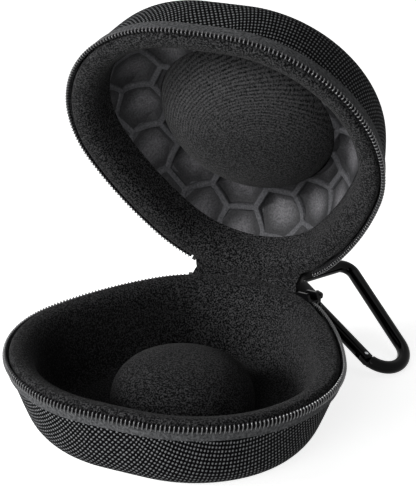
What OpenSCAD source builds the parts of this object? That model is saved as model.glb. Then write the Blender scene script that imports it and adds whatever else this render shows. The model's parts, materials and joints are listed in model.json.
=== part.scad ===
// Watch travel case: two domed half shells that close on a coil zip, joined at the back
// by a fabric hinge. Each half holds a foam rim, a fleece lining and a soft dome, and a
// snap clip hangs from a webbing loop on the back wall.
// Units are millimetres. +Z is up, the front is -Y, and the origin is on the floor
// under the middle of the closed case.

/* [Outline] */
// Width of the case across the zip line
case_w = 120; // [105:1:140]
// Distance from the back of the outline to its widest line
widest_back = 72.3; // [66:0.1:78]
// Radius of the rounded front corners and sides
side_r = 52.4; // [48:0.1:52.4]
// Radius of the nearly straight front edge
front_r = 860; // [400:10:1200]
// Radius of the rounded back
back_r = 45.7; // [42:0.1:48]
// Radius of the flat flanks between the sides and the back
flank_r = 136; // [120:1:160]

/* [Half shells] */
// Height of one half, from the zip line to its outside
half_h = 31; // [28:0.5:38]
// Width of the zip tape that shows below the zip line
tape_h = 6.5; // [5:0.5:9]
// Lean of the wall, inward per millimetre of height
wall_lean = 0.36; // [0.3:0.01:0.42]
// Thickness of the woven cover
cover_t = 0.8; // [0.6:0.1:1.2]
// Thickness of the moulded core under the cover
core_t = 2.5; // [2:0.1:3]
// Thickness of the fleece lining
lining_t = 0.8; // [0.6:0.1:1]
// Thickness of the zip tape
tape_t = 0.7; // [0.5:0.1:0.8]
// Width of the padded rim, from the zip line to the edge of the hollow
rim_w = 11.3; // [11:0.1:12]

/* [Soft domes] */
// Diameter of the dome in the lid
lid_dome_d = 68; // [60:1:70]
// Height of the dome in the lid
lid_dome_h = 17; // [12:0.5:19]
// Diameter of the mound that the watch wraps round
mound_d = 52; // [40:1:54]
// Height of the mound
mound_h = 20; // [14:0.5:22]
// Distance of both domes in front of the middle of the case
dome_forward = 2; // [0:0.5:4]

/* [Hexagon pad] */
// Side of one hexagon
hex_side = 11; // [9:0.5:12]
// Width of the ridge between two hexagons
hex_ridge = 1.7; // [1.2:0.1:2.5]
// Depth of each dimple
hex_depth = 2; // [1:0.1:2.4]
// Distance of the hexagon nearest the middle to the left of it
hex_left = 8.5; // [0:0.5:16]
// Thickness of the pad at its inner edge
pad_t = 3.4; // [3:0.1:4]

/* [Hinge] */
// Angle that the fabric hinge takes up on each side of the back
hinge_half_angle = 29; // [24:1:32]
// Distance of the hinge line inside the back of the outline
hinge_in = 2.2; // [1.8:0.1:2.6]
// How far the lid stands open at rest
open_angle = 62.2; // [0:0.1:90]
// Radius that both rims keep clear round the hinge line
hinge_clear_r = 3.2; // [3:0.1:4]
// Radius of the rolled fold on the hinge line
fold_r = 1.2; // [0.9:0.1:1.3]
// Angle of the web that joins the fold to the band, from the floor
web_angle = 66; // [62:1:70]
// Length of the rolled fold
fold_len = 12; // [8:1:13]

/* [Zip] */
// Distance from one coil loop to the next
coil_pitch = 3; // [2.5:0.1:4]
// Width of the coil on one side
coil_w = 2.4; // [2:0.1:2.6]
// Height of the coil on one side
coil_h = 1.1; // [0.9:0.1:1.2]
// Thickness of one coil loop along the zip
loop_t = 0.8; // [0.6:0.1:1]
// Where the slider is parked, as an angle from the back
slider_angle = 37; // [36.6:0.1:38]
// Length of the slider
slider_len = 9; // [8:0.5:9.5]
// Height of the slider plates
slider_h = 5.2; // [4.6:0.1:6]
// Thickness of each slider plate
slider_t = 1; // [0.8:0.1:1.2]
// Radius of the bail bar
bail_r = 0.6; // [0.5:0.05:0.7]
// Length of the pull below its eye
pull_len = 13; // [10:0.5:18]
// Width of the pull
pull_w = 4.6; // [4:0.1:6]

/* [Snap clip] */
// Diameter of the clip's rod
rod_d = 5; // [4:0.1:5.4]
// Length of the clip along its middle line
clip_l = 50.6; // [46:0.1:56]
// Width of the clip across its middle line
clip_w = 28.2; // [26:0.1:30]
// Radius of the two wide corners
corner_r = 5; // [4:0.1:6]
// Radius of the narrow end
tip_r = 9.5; // [9:0.1:10.5]
// Diameter of the gate's pin
gate_pin_d = 1.6; // [1.2:0.1:1.8]
// Thickness of the tongue that the pin crosses
tongue_t = 1.8; // [1.4:0.1:2.2]
// Width of the webbing loop
strap_w = 8; // [6:0.5:8]
// Thickness of one layer of webbing
webbing_t = 1.2; // [1:0.1:1.4]

/* [Hidden] */
$fn = 48;

// Gap left between pieces that only just clear each other
clear = 0.3;
// Running gap round a pin
pin_gap = 0.06;
// Overlap of a cutting shape past the face that it cuts
eps = 0.01;

// --- outline of the zip line, built from tangent arcs -----------------------------
side_x = case_w / 2 - side_r;
front_reach = front_r - sqrt(pow(front_r - side_r, 2) - side_x * side_x);
case_d = widest_back + front_reach;
back_y = case_d / 2;
side_c = [side_x, back_y - widest_back];
front_c = [0, -case_d / 2 + front_r];
back_c = [0, back_y - back_r];
flank_gap = norm(back_c - side_c);
flank_along = (pow(flank_r - side_r, 2) - pow(flank_r - back_r, 2) + flank_gap * flank_gap) / (2 * flank_gap);
flank_off = sqrt(pow(flank_r - side_r, 2) - flank_along * flank_along);
flank_dir = (back_c - side_c) / flank_gap;
flank_c = side_c + flank_along * flank_dir + flank_off * [-flank_dir[1], flank_dir[0]];
front_join = atan2(side_c[1] - front_c[1], side_c[0] - front_c[0]);
side_join = atan2(side_c[1] - flank_c[1], side_c[0] - flank_c[0]);
back_join = atan2(back_c[1] - flank_c[1], back_c[0] - flank_c[0]);
hinge_edge = 90 - hinge_half_angle;
side_steps = 11;
flank_steps = 3;
zip_steps = 3;
hinge_steps = 3;

// A station on the outline is [centre x, centre y, radius, angle]
function arc(c, r, a0, a1, n) = [for (i = [1:n]) [c[0], c[1], r, a0 + (a1 - a0) * i / n]];
function first(list, n) = n < 1 ? [] : [for (i = [0:n - 1]) list[i]];
// Right half of the outline from the middle of the front: it stops after zip_n steps
// of the back arc, or goes on over hinge_n steps of the hinge
function right_run(zip_n, hinge_n) = concat(
    [[front_c[0], front_c[1], front_r, -90], [side_c[0], side_c[1], side_r, front_join]],
    arc(side_c, side_r, front_join, side_join, side_steps),
    arc(flank_c, flank_r, side_join, back_join, flank_steps),
    first(arc(back_c, back_r, back_join, hinge_edge, zip_steps), zip_n),
    first(arc(back_c, back_r, hinge_edge, 90, hinge_steps), hinge_n)
);
function mirrored(s) = [-s[0], s[1], s[2], 180 - s[3]];
function loop_run() = let (h = right_run(zip_steps, hinge_steps), n = len(h))
    concat(h, [for (i = [n - 2:-1:1]) mirrored(h[i])]);
function open_run(right_n) = let (l = right_run(zip_steps, 0), n = len(l))
    concat([for (i = [n - 1:-1:1]) mirrored(l[i])], right_run(right_n, 0));
function hinge_run() = let (h = concat([[back_c[0], back_c[1], back_r, hinge_edge]],
    arc(back_c, back_r, hinge_edge, 90, hinge_steps)), n = len(h))
    concat(h, [for (i = [n - 2:-1:0]) mirrored(h[i])]);
function at(s, inset, z) = [s[0] + (s[2] - inset) * cos(s[3]), s[1] + (s[2] - inset) * sin(s[3]), z];

// --- sections of one half: [inset from the zip line, distance from the zip plane] ---
flange_z = 3;
bottom_in = 23.5;
cover_foot = [tape_t + 1.5, tape_h];
wall_end = cover_foot[1] + 0.42 * half_h;
wall_in = cover_foot[0] + wall_lean * (wall_end - tape_h);
cover_outer = [
    [bottom_in, half_h], [bottom_in - 5, half_h - 0.3], [wall_in + 6.3, half_h - 2.4],
    [wall_in + 2.5, half_h - 6.4], [wall_in, wall_end], cover_foot,
    [tape_t + 1.2, tape_h], [tape_t + 0.5, flange_z]
];
// The same section moved inwards by t, with its floor t lower
function inner_of(s, t) = [for (p = s) let (k = min(1, max(0, (p[1] - wall_end) / (half_h - wall_end))))
    [p[0] + t * (1 - 0.9 * k * k), p[1] - t * k]];
function reversed(s) = [for (i = [len(s) - 1:-1:0]) s[i]];
function dropped(s, j) = [for (i = [0:len(s) - 1]) if (i != j) s[i]];
cover_inner = inner_of(dropped(cover_outer, 6), cover_t);
core_inner = inner_of(dropped(cover_inner, 5), core_t);
core_floor = half_h - cover_t - core_t;

// The lining runs from the zip line over the rim and down to the floor of the hollow
lining_floor = core_floor - lining_t;
lining_seen = [
    [3.2, 0.6], [6, 0.8], [8.8, 1.9], [10.6, 4.4], [rim_w, 8.5], [rim_w + 0.6, 15],
    [rim_w + 2.9, lining_floor - 4], [rim_w + 5.4, lining_floor - 1.2],
    [rim_w + 8.8, lining_floor - 0.1], [bottom_in + 0.5, lining_floor]
];
lining_back = [
    [3.2, 0.6 + lining_t], [5.8, 0.8 + lining_t], [8.3, 1.9 + 0.8 * lining_t],
    [9.9, 4.4 + 0.5 * lining_t], [rim_w - lining_t, 8.7], [rim_w + 0.6 - lining_t, 15],
    [rim_w + 2.9 - lining_t, lining_floor - 4], [rim_w + 4.7, core_floor - 1.2],
    [rim_w + 8.6, core_floor - 0.1], [bottom_in + 0.5, core_floor]
];
foam_foot = lining_back[7];
rim_foam_section = concat(
    [foam_foot], [for (j = [2:4]) core_inner[j]],
    [[core_inner[5][0], flange_z], [tape_t + 1.7, flange_z], [tape_t + 1.7, 0.6 + lining_t]],
    [for (j = [0:6]) lining_back[j]]
);

tape_top = 1.6;
tape_section = [
    [1.2, tape_h], [0.5, flange_z], [0.1, tape_top],
    [0.1 + tape_t, tape_top], [0.5 + tape_t, flange_z], [1.2 + tape_t, tape_h]
];
coil_top = tape_top - coil_h;

// Dished hexagon pad: seen face, then the face that lies on the lining
pad_in = case_w / 2 - lid_dome_d / 2 - clear;
pad_seen = [
    [rim_w + 0.9, 13.6], [rim_w + 2.7, 17], [rim_w + 5.2, 20.4],
    [rim_w + 9.6, lining_floor - pad_t - 0.9], [pad_in, lining_floor - pad_t]
];
pad_back = [
    [pad_in, lining_floor - clear / 3], [rim_w + 9, lining_floor - 0.3],
    [rim_w + 5.7, lining_floor - 1.5], [rim_w + 3.2, lining_floor - 4.2],
    [rim_w + 1.1, 16.4], [rim_w + 0.65, 14.4]
];

// --- places of the moving parts -----------------------------------------------------
hinge_y = back_y - hinge_in;
// Where the lid's zip half ends beside the parked slider
lid_zip_end = back_join + (hinge_edge - back_join) / zip_steps;
slider_at = 90 - slider_angle;
slider_top = coil_w + clear;
bail_x = slider_t + clear + 2.1;
clip_pitch = 27.9;
clip_yaw = -28.7;
clip_at = [19.1, back_y + 25.3, half_h - 4.6];
rod_r = rod_d / 2;
corner_y = clip_w / 2 - corner_r;
tip_x = clip_l - tip_r;
branch_run = norm([tip_x - corner_r, corner_y]);
branch_lean = atan2(corner_y, tip_x - corner_r) - asin((tip_r - corner_r) / branch_run);
branch_len = sqrt(branch_run * branch_run - pow(tip_r - corner_r, 2));
gate_from = strap_w;
strap_at = strap_w / 2 - 1;
gate_len = branch_len - gate_from;
// The narrow end stops short of the gate's round end, at this angle round the tip
gate_hinge_end = branch_lean - 90 + (rod_r + clear + 0.1) / tip_r * 180 / PI;
// The bends are this much slimmer than the straight stretches that lap over their ends
rod_step = 0.02;
rod_lap = 0.2;

// --- helpers -------------------------------------------------------------------------
// Solid swept round stations; a section that is not closed has its ends capped flat
module swept(run, section, closed_run, closed_section) {
    n = len(run);
    m = len(section);
    pts = [for (s = run) for (p = section) at(s, p[0], p[1])];
    ni = closed_run ? n : n - 1;
    mj = closed_section ? m : m - 1;
    sides = [for (i = [0:ni - 1]) for (j = [0:mj - 1])
        [i * m + j, ((i + 1) % n) * m + j, ((i + 1) % n) * m + (j + 1) % m, i * m + (j + 1) % m]];
    caps = closed_run
        ? (closed_section ? [] : [[for (i = [n - 1:-1:0]) i * m], [for (i = [0:n - 1]) i * m + m - 1]])
        : [[for (j = [0:m - 1]) j], [for (j = [m - 1:-1:0]) (n - 1) * m + j]];
    polyhedron(points = pts, faces = concat(sides, caps), convexity = 8);
}

// Puts a part, modelled with its zip plane on z = 0 and its outside up, in the base
module in_base() {
    translate([0, 0, half_h]) mirror([0, 0, 1]) children();
}

// Puts such a part in the lid, standing open
module in_lid() {
    translate([0, hinge_y, half_h]) rotate([-open_angle, 0, 0]) translate([0, -hinge_y, 0]) children();
}

// Room that both rims keep clear round the hinge line
module hinge_room(r) {
    translate([-case_w / 4, hinge_y, 0]) rotate([0, 90, 0]) cylinder(r = r, h = case_w / 2);
}

// Room that the inner slider plate sweeps along the back arc
module slider_room() {
    translate([back_c[0], back_c[1], 0]) rotate([0, 0, 32]) rotate_extrude(angle = 30)
        translate([back_r - slider_top - slider_t - clear, -1])
            square([slider_top + slider_t + clear, slider_h / 2 + clear + 1]);
}

// --- one half -------------------------------------------------------------------------
module half_cover() {
    swept(loop_run(), concat(cover_outer, reversed(cover_inner)), true, false);
}

module half_core() {
    swept(loop_run(), concat(cover_inner, reversed(core_inner)), true, false);
}

module half_rim_foam() {
    difference() {
        swept(loop_run(), rim_foam_section, true, true);
        hinge_room(hinge_clear_r);
        slider_room();
    }
}

module half_lining() {
    difference() {
        swept(loop_run(), concat(reversed(lining_back), lining_seen), true, false);
        hinge_room(hinge_clear_r);
        slider_room();
    }
}

module half_tape(right_n) {
    swept(open_run(right_n), tape_section, false, true);
}

// One loop of the coil, on the arc of centre c and radius r at angle a
module coil_loop(c, r, a) {
    translate([c[0], c[1], 0]) rotate([0, 0, a])
        translate([r - coil_w, -loop_t / 2, coil_top]) cube([coil_w, loop_t, coil_h]);
}

// Loops along one arc, an even pitch apart
module coil_arc(c, r, a0, a1) {
    n = max(1, round(abs(a1 - a0) * PI / 180 * r / coil_pitch));
    for (i = [0:n - 1]) coil_loop(c, r, a0 + (a1 - a0) * (i + 0.5) / n);
}

module half_coil(a_left, a_right) {
    for (side = [0, 1]) mirror([side, 0, 0]) {
        coil_arc(front_c, front_r, -90, front_join);
        coil_arc(side_c, side_r, front_join, side_join);
        coil_arc(flank_c, flank_r, side_join, back_join);
        coil_arc(back_c, back_r, back_join, side == 0 ? a_right : a_left);
    }
}

module stop_block(a) {
    translate([back_c[0], back_c[1], 0]) rotate([0, 0, a])
        translate([back_r - coil_w, -0.75, coil_top]) cube([coil_w, 1.5, coil_h]);
}

// Half of the fabric hinge: a band on the back wall
module hinge_band() {
    difference() {
        swept(hinge_run(), tape_section, false, true);
        hinge_room(hinge_clear_r - clear);
    }
}

// Web from the band towards the hinge line, from this radius outwards
module hinge_web(from_r) {
    translate([-fold_len / 2, hinge_y, 0]) rotate([web_angle, 0, 0])
        translate([0, from_r, -cover_t / 2]) cube([fold_len, hinge_clear_r - clear / 2 - from_r, cover_t]);
}

// --- base -----------------------------------------------------------------------------
module base_cover() {
    color("#2b2d33") in_base() half_cover();
}

module base_core() {
    color("#1c1c1e") in_base() half_core();
}

module base_rim_foam() {
    color("#3a3a3c") in_base() half_rim_foam();
}

module base_lining() {
    color("#232326") in_base() half_lining();
}

// A soft dome with rounded shoulders, standing on z = 0
module soft_dome(d, h, power) {
    steps = 9;
    rotate_extrude() polygon(concat([[0, 0]], [for (i = [0:steps]) let (a = 90 * i / steps)
        [d / 2 * pow(max(0, cos(a)), 2 / power), h * pow(max(0, sin(a)), 2 / power)]]));
}

module base_mound() {
    color("#26262a") translate([0, -dome_forward, half_h - lining_floor])
        soft_dome(mound_d, mound_h, 2.8);
}

module base_zip_tape() {
    color("#222428") in_base() half_tape(zip_steps);
}

module base_zip_coil() {
    color("#17181a") in_base() half_coil(hinge_edge - 3, hinge_edge - 3);
}

module zip_stops() {
    color("#111214") in_base() {
        stop_block(hinge_edge - 1.2);
        stop_block(180 - hinge_edge + 1.2);
    }
}

module hinge_panel_lower() {
    color("#2b2d33") {
        in_base() {
            hinge_band();
            hinge_web(0);
        }
        translate([-fold_len / 2, hinge_y, half_h]) rotate([0, 90, 0]) cylinder(r = fold_r, h = fold_len);
    }
}

// Axes of the clip: x along it, y across it, origin in the middle of its wide bar
module in_clip() {
    translate(clip_at) rotate([0, clip_pitch, clip_yaw]) children();
}

// Axes of the gate side: origin on the wide corner's centre, x along the branch
module on_gate_branch() {
    translate([corner_r, -corner_y, 0]) rotate([0, 0, branch_lean]) translate([0, -corner_r, 0]) children();
}

// Outside of the base, for trimming what is sewn to it
module base_envelope() {
    in_base() swept(loop_run(), concat(cover_outer, [[0.5, flange_z], [0.1, tape_top], [0.1, -1]]), true, false);
}

module strap_loop() {
    eye_r = rod_r + clear;
    color("#1d1e21") difference() {
        in_clip() on_gate_branch() translate([strap_at, 0, 0]) rotate([90, 0, 90])
            translate([0, 0, -strap_w / 2]) linear_extrude(strap_w) difference() {
                union() {
                    circle(r = eye_r + webbing_t);
                    rotate(-171.4) translate([0, -webbing_t]) square([21, 2 * webbing_t]);
                }
                circle(r = eye_r);
            }
        base_envelope();
    }
}

// --- lid ------------------------------------------------------------------------------
module lid_cover() {
    color("#2b2d33") in_lid() half_cover();
}

module lid_core() {
    color("#1c1c1e") in_lid() half_core();
}

module lid_rim_foam() {
    color("#3a3a3c") in_lid() half_rim_foam();
}

module lid_lining() {
    color("#232326") in_lid() half_lining();
}

module lid_dome() {
    color("#26262a") in_lid() translate([0, -dome_forward, lining_floor]) mirror([0, 0, 1])
        soft_dome(lid_dome_d - 2 * clear, lid_dome_h, 2.3);
}

// Hexagon prisms in columns, each row of a second column moved by half a cell
module hex_cells() {
    col_step = 1.5 * hex_side;
    row_step = sqrt(3) * hex_side;
    cols = floor(case_w / 2 / col_step);
    rows = floor(case_d / 2 / row_step);
    cell_r = hex_side - hex_ridge / sqrt(3);
    for (i = [-cols:cols]) for (j = [-rows:rows]) {
        p = [i * col_step - hex_left, (j + (i % 2 == 0 ? 0 : 0.5)) * row_step - dome_forward];
        if (norm(p) > lid_dome_d / 2 - hex_side / 2 && norm(p) < case_d / 2 - rim_w)
            translate([p[0], p[1], 5]) linear_extrude(lining_floor) circle(r = cell_r, $fn = 6);
    }
}

module lid_hex_pad() {
    rim = pad_seen[0];
    // The dimples fade out at the pad's upper edge and are shallower on its steep wall
    lowered = [for (p = pad_seen) p == rim ? [p[0] + 0.2, p[1]]
        : [p[0] - (p[1] < 21 ? 0.6 : 0), p[1] + (p[1] < 21 ? 0.4 : 1) * hex_depth]];
    raised = [for (p = reversed(pad_seen)) [p[0] + 1, p[1] - 3]];
    color("#3b3b3e") in_lid() difference() {
        swept(loop_run(), concat(pad_back, pad_seen), true, true);
        translate([0, -dome_forward, 0]) cylinder(d = lid_dome_d, h = half_h);
        intersection() {
            hex_cells();
            swept(loop_run(), concat(reversed(lowered), reversed(raised)), true, true);
        }
    }
}

module lid_zip_tape() {
    color("#222428") in_lid() half_tape(1);
}

module lid_zip_coil() {
    color("#17181a") in_lid() half_coil(hinge_edge - 3, lid_zip_end - 1);
}

module lid_zip_stop() {
    color("#111214") in_lid() stop_block(180 - hinge_edge + 1.2);
}

module hinge_panel_upper() {
    color("#2b2d33") in_lid() {
        hinge_band();
        hinge_web(fold_r + clear);
    }
}

// --- slider and pull ------------------------------------------------------------------
// Axes of the slider: x outwards from the zip line, y along it, z up
module on_slider() {
    translate([back_c[0], back_c[1], half_h]) rotate([0, 0, slider_at]) translate([back_r, 0, 0]) children();
}

module slider_plate() {
    rotate([0, 90, 0]) linear_extrude(slider_t) hull() {
        translate([0, slider_len / 2 - 1.2]) circle(d = 2.4, $fn = 24);
        translate([slider_h / 2 - 1.2, -slider_len / 2 + 2.2]) circle(d = 2.4, $fn = 24);
        translate([-slider_h / 2 + 1.2, -slider_len / 2 + 2.2]) circle(d = 2.4, $fn = 24);
        translate([0, -slider_len / 2 + 1]) circle(d = 2, $fn = 24);
    }
}

module slider_body() {
    color("#0f1012") on_slider() {
        translate([clear, 0, 0]) slider_plate();
        translate([-slider_top - slider_t, 0, 0]) slider_plate();
        translate([-slider_top - eps, -slider_len / 2 + 0.1, -0.2])
            cube([slider_top + clear + 2 * eps, 1.8, 0.4]);
    }
}

module slider_bail() {
    foot = 0.9;
    span = 3.6;
    color("#0f1012") on_slider() {
        translate([bail_x, -span / 2 - foot / 2, 0]) rotate([-90, 0, 0]) cylinder(r = bail_r, h = span + foot);
        for (s = [-1, 1]) translate([clear + slider_t, s * span / 2 - foot / 2, -bail_r])
            cube([bail_x - clear - slider_t, foot, 2 * bail_r]);
    }
}

module zip_pull() {
    eye_r = bail_r + 0.9;
    eye_w = 2.1;
    color("#0f1012") on_slider() translate([bail_x, 0, 0]) difference() {
        union() {
            translate([0, eye_w / 2, 0]) rotate([90, 0, 0]) cylinder(r = eye_r, h = eye_w);
            translate([-0.6, -eye_w / 2, -4]) cube([1.2, eye_w, 3]);
            translate([-0.6, 0, -pull_len + pull_w / 2]) rotate([0, 90, 0]) linear_extrude(1.2) union() {
                circle(d = pull_w);
                translate([-pull_len + pull_w / 2 + 3.2, -pull_w / 2]) square([pull_len - pull_w / 2 - 3.2, pull_w]);
            }
        }
        translate([0, eye_w, 0]) rotate([90, 0, 0]) cylinder(r = bail_r + pin_gap, h = 2 * eye_w);
    }
}

// --- snap clip ------------------------------------------------------------------------
module rod_arc(r, a) {
    rotate_extrude(angle = a) translate([r, 0]) circle(r = rod_r - rod_step);
}

// Straight stretch along x, which laps over the bends at its ends
module rod_straight(from, to) {
    translate([from, 0, 0]) rotate([0, 90, 0]) cylinder(r = rod_r, h = to - from);
}

module clip_frame() {
    color("#0d0d0f") in_clip() difference() {
        union() {
            rotate([0, 0, 90]) rod_straight(-corner_y - rod_lap, corner_y + rod_lap);
            translate([corner_r, corner_y, 0]) rotate([0, 0, 90 - branch_lean]) rod_arc(corner_r, 90 + branch_lean);
            translate([corner_r, -corner_y, 0]) rotate([0, 0, 180]) rod_arc(corner_r, 90 + branch_lean);
            mirror([0, 1, 0]) on_gate_branch() rod_straight(-rod_lap, branch_len + rod_lap);
            translate([tip_x, 0, 0]) rotate([0, 0, gate_hinge_end]) rod_arc(tip_r, 90 - branch_lean - gate_hinge_end);
            on_gate_branch() rod_straight(-rod_lap, gate_from - clear);
            on_gate_branch() translate([gate_from - clear - eps, -rod_r + 0.6, -tongue_t / 2])
                cube([2.6, rod_d - 1.2, tongue_t]);
            on_gate_branch() translate([branch_len, 0, -tongue_t / 2]) cylinder(r = rod_r - 0.3, h = tongue_t);
            on_gate_branch() translate([branch_len, -rod_r + 0.3, -tongue_t / 2])
                cube([rod_r + clear + 1.2, rod_d - 0.6, tongue_t]);
        }
        on_gate_branch() translate([branch_len, 0, -rod_r]) cylinder(r = gate_pin_d / 2, h = rod_d);
    }
}

module gate_pin() {
    color("#6d6f73") in_clip() on_gate_branch() translate([branch_len, 0, -rod_r + 0.4])
        cylinder(r = gate_pin_d / 2, h = rod_d - 0.8);
}

spring_d = 2;
spring_l = 8;

module clip_gate() {
    slot = tongue_t + 2 * clear;
    color("#0d0d0f") in_clip() on_gate_branch() difference() {
        union() {
            translate([gate_from, 0, 0]) rotate([0, 90, 0]) cylinder(r = rod_r, h = gate_len);
            intersection() {
                translate([branch_len, 0, -rod_r]) cylinder(r = rod_r, h = rod_d);
                translate([branch_len - rod_d, 0, 0]) rotate([0, 90, 0]) cylinder(r = rod_r, h = 2 * rod_d);
            }
        }
        translate([branch_len - rod_r - clear, -rod_d, -slot / 2]) cube([2 * rod_d, 2 * rod_d, slot]);
        translate([gate_from - eps, -rod_d, -slot / 2]) cube([3 + clear, 2 * rod_d, slot]);
        translate([branch_len, 0, -rod_d]) cylinder(r = gate_pin_d / 2 + pin_gap, h = 2 * rod_d);
        translate([branch_len - rod_r - clear - spring_l, 0, 0]) rotate([0, 90, 0])
            cylinder(r = spring_d / 2 + pin_gap, h = spring_l + clear);
    }
}

module gate_spring() {
    color("#8b8d91") in_clip() on_gate_branch() translate([branch_len - rod_r - clear - spring_l, 0, 0])
        rotate([0, 90, 0]) difference() {
            cylinder(r = spring_d / 2, h = spring_l);
            translate([0, 0, -eps]) cylinder(r = spring_d / 2 - 0.4, h = spring_l + 2 * eps);
        }
}

base_cover();
base_core();
base_rim_foam();
base_lining();
base_mound();
base_zip_tape();
base_zip_coil();
zip_stops();
hinge_panel_lower();
strap_loop();
lid_cover();
lid_core();
lid_rim_foam();
lid_lining();
lid_dome();
lid_hex_pad();
lid_zip_tape();
lid_zip_coil();
lid_zip_stop();
hinge_panel_upper();
slider_body();
slider_bail();
zip_pull();
clip_frame();
gate_pin();
clip_gate();
gate_spring();
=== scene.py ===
"""Watch travel case, standing open: soft goods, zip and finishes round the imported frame.

Every class below is one sub-assembly of the case. Sizes are in millimetres, as a maker
gives them, and become metres where a mesh is made. A place on a half shell is given by
three numbers: the distance along the zip line from the middle of the front, the inset
from the zip line, and the depth, which is the distance from the zip plane.
"""

import json
import logging
import math
from dataclasses import dataclass
from enum import Enum
from typing import Callable

import bpy
import numpy as np
from mathutils import Matrix, Vector

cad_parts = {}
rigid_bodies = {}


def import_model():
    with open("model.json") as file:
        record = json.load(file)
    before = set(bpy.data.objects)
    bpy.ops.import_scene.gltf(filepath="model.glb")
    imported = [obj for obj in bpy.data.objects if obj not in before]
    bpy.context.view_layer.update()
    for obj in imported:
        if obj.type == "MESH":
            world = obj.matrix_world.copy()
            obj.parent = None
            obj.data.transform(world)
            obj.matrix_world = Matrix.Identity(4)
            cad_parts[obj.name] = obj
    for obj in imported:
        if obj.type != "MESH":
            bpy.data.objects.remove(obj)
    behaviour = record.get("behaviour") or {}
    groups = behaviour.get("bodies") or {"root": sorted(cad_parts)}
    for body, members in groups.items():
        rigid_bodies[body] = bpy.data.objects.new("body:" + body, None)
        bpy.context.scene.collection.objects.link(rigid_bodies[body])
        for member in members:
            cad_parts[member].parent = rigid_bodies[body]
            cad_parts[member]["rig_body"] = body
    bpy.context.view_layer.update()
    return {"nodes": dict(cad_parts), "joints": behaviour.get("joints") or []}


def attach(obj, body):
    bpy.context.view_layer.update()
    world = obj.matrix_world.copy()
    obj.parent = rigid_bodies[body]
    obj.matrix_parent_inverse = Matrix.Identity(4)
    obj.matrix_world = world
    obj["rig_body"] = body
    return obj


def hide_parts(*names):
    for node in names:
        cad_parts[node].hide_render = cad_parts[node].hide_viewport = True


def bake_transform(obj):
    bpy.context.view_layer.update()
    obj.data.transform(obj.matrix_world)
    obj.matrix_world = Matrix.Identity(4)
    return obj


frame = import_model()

MM = 0.001
Array = np.ndarray
# Gives a piece's places and its flat cloth's, for shares of both directions of its grid
Place = Callable[[Array, Array], tuple[Array, Array]]
# A section line: the inset and depth of each of its corners
Section = tuple[tuple[float, float], ...]
Piece = bpy.types.Object
Node = bpy.types.Node
Tree = bpy.types.NodeTree
Socket = bpy.types.NodeSocket
# Where the domes and both floors have their middle, from front to back
MIDDLE_Y = -2.0
# A wave texture of scale 1 turns this many radians in one unit
WAVE_TURNS = 20
# Points that lie closer than this are merged, in metres
MERGE_GAP = 2e-6

logging.basicConfig(level=logging.INFO, format="%(message)s")
log = logging.getLogger("watch_case")


# --- colours, nodes and finishes ---
def linear(code: str) -> tuple[float, float, float, float]:
    """Turns an sRGB hex colour into Blender's linear one.

    Args:
        code: the colour as "#rrggbb".

    Returns:
        Red, green, blue and an alpha of 1.
    """
    parts = [int(code[i : i + 2], 16) / 255 for i in (1, 3, 5)]
    red, green, blue = (p / 12.92 if p <= 0.04045 else ((p + 0.055) / 1.055) ** 2.4 for p in parts)
    return red, green, blue, 1.0


def add(tree: Tree, kind: str, inputs: dict, **settings: object) -> Node:
    """Adds one shader node.

    Args:
        tree: the material's node tree.
        kind: Blender's name of the node type.
        inputs: a value or another node's socket for each input, by its name or number.
        settings: the node's own settings.

    Returns:
        The node.
    """
    made = tree.nodes.new(kind)
    for name, value in settings.items():
        setattr(made, name, value)
    for key, value in inputs.items():
        if isinstance(value, Socket):
            tree.links.new(value, made.inputs[key])
        else:
            made.inputs[key].default_value = value
    return made


@dataclass(frozen=True)
class Finish:
    """A plain finish: one colour all over, with the gloss of its material."""

    name: str
    colour: str
    roughness: float
    metallic: float = 0.0
    sheen: float = 0.0
    specular: float = 0.5

    def material(self) -> bpy.types.Material:
        """Returns the Blender material, which is made at the first call."""
        found = bpy.data.materials.get(self.name)
        if found is not None:
            return found
        made = bpy.data.materials.new(self.name)
        made.use_nodes = True
        tree = made.node_tree
        shader = tree.nodes["Principled BSDF"]
        constants = {
            "Base Color": linear(self.colour),
            "Roughness": self.roughness,
            "Metallic": self.metallic,
            "Sheen Weight": self.sheen,
            "Specular IOR Level": self.specular,
        }
        for name, value in constants.items():
            shader.inputs[name].default_value = value
        made.diffuse_color = linear(self.colour)
        self.pattern(tree, shader)
        return made

    def pattern(self, tree: Tree, shader: Node) -> None:
        """Adds nothing: a plain finish has no pattern."""


def number(tree: Tree, operation: str, *values: object) -> Socket:
    """Returns the result of a maths node for these numbers or sockets."""
    return add(tree, "ShaderNodeMath", dict(enumerate(values)), operation=operation).outputs[0]


def vector(tree: Tree, operation: str, *values: object) -> Socket:
    """Returns the vector that a vector maths node makes of these vectors or sockets."""
    made = add(tree, "ShaderNodeVectorMath", dict(enumerate(values)), operation=operation)
    return made.outputs[0]


def bump(tree: Tree, shader: Node, height: Socket, depth: float) -> None:
    """Raises the surface by a height pattern.

    Args:
        tree: the material's node tree.
        shader: the Principled shader.
        height: the pattern, from 0 to 1.
        depth: how far 1 stands above 0, in millimetres.
    """
    made = add(tree, "ShaderNodeBump", {"Height": height, "Distance": depth * MM, "Strength": 1.0})
    tree.links.new(made.outputs["Normal"], shader.inputs["Normal"])


def cloth_mm(tree: Tree) -> Socket:
    """Returns the place on the flat cloth, which the UV map holds in millimetres."""
    return add(tree, "ShaderNodeUVMap", {}).outputs["UV"]


def object_mm(tree: Tree) -> Socket:
    """Returns the Object coordinates in millimetres."""
    place = add(tree, "ShaderNodeTexCoord", {}).outputs["Object"]
    scaled = add(tree, "ShaderNodeVectorMath", {0: place, "Scale": 1 / MM}, operation="SCALE")
    return scaled.outputs["Vector"]


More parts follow.
